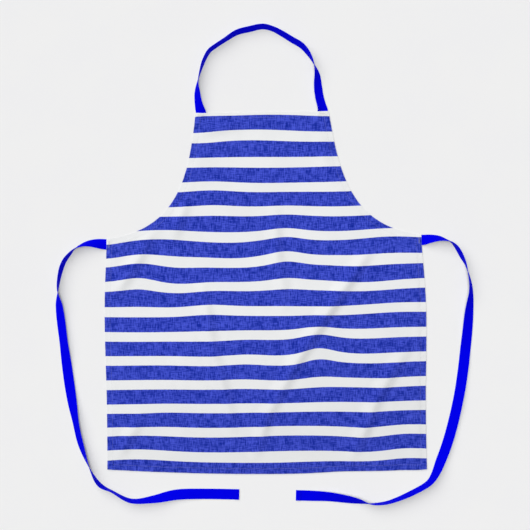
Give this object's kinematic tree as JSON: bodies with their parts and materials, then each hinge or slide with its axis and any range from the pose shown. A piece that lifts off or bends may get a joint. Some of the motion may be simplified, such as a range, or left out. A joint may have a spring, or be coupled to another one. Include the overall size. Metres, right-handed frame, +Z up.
{
  "type": "bib apron",
  "caption": "Striped cotton bib apron laid flat: thin hemmed cloth with a neck strap and long waist ties of narrow tape, sewn into the hems.",
  "frame": {"origin": "middle of the bottom hem, on the table that the apron lies on", "axes": "+Z up from the table, out of the apron's face; +Y from the bottom hem to the neck; +X to the right as the face is seen from above"},
  "size_m": [0.7935, 0.9202, 0.0202],
  "materials": {
    "striped_cloth": "matt woven cotton with even horizontal stripes, mid blue and off-white",
    "blue_tape": "matt woven tape, bright blue",
    "white_thread": "spun sewing thread, off-white",
    "blue_thread": "spun sewing thread, blue"
  },
  "bodies": {
    "skirt": {"skirt_panel": "striped_cloth", "left_tie_sewn_end": "blue_tape", "right_tie_sewn_end": "blue_tape", "bottom_hem_thread": "white_thread", "left_side_thread": "white_thread", "right_side_thread": "white_thread", "left_waist_thread": "white_thread", "right_waist_thread": "white_thread", "left_tie_bartack": "white_thread", "right_tie_bartack": "white_thread"},
    "bib": {"bib_panel": "striped_cloth", "neck_strap_left_end": "blue_tape", "neck_strap_right_end": "blue_tape", "top_hem_thread": "white_thread", "left_armhole_thread": "white_thread", "right_armhole_thread": "white_thread", "neck_strap_left_bartack": "white_thread", "neck_strap_right_bartack": "white_thread"},
    "neck_loop": {"neck_strap": "blue_tape"},
    "left_tie_start": {"left_tie_root": "blue_tape"},
    "left_tie_length": {"left_tie": "blue_tape", "left_tie_end_thread": "blue_thread"},
    "right_tie_start": {"right_tie_root": "blue_tape"},
    "right_tie_length": {"right_tie": "blue_tape", "right_tie_end_thread": "blue_thread"}
  },
  "joints": [
    {"name": "bib_fold", "type": "hinge", "parent": "skirt", "child": "bib", "pos_m": [0, 0.475, 0.0006], "axis": [1, 0, 0], "range_deg": [-150, 150]},
    {"name": "neck_loop_fold", "type": "hinge", "parent": "bib", "child": "neck_loop", "pos_m": [0, 0.6935, 0.0012], "axis": [-1, 0, 0], "range_deg": [-150, 150]},
    {"name": "left_tie_fold", "type": "hinge", "parent": "skirt", "child": "left_tie_start", "pos_m": [-0.3035, 0.4395, 0.0012], "axis": [0, 1, 0], "range_deg": [-100, 100]},
    {"name": "right_tie_fold", "type": "hinge", "parent": "skirt", "child": "right_tie_start", "pos_m": [0.3035, 0.4395, 0.0012], "axis": [0, -1, 0], "range_deg": [-100, 100]},
    {"name": "left_tie_swing", "type": "hinge", "parent": "left_tie_start", "child": "left_tie_length", "pos_m": [-0.393, 0.357, 0.01], "axis": [0, 0, 1], "range_deg": [-100, 0]},
    {"name": "right_tie_swing", "type": "hinge", "parent": "right_tie_start", "child": "right_tie_length", "pos_m": [0.384, 0.39, 0.01], "axis": [0, 0, -1], "range_deg": [-100, 0]}
  ]
}
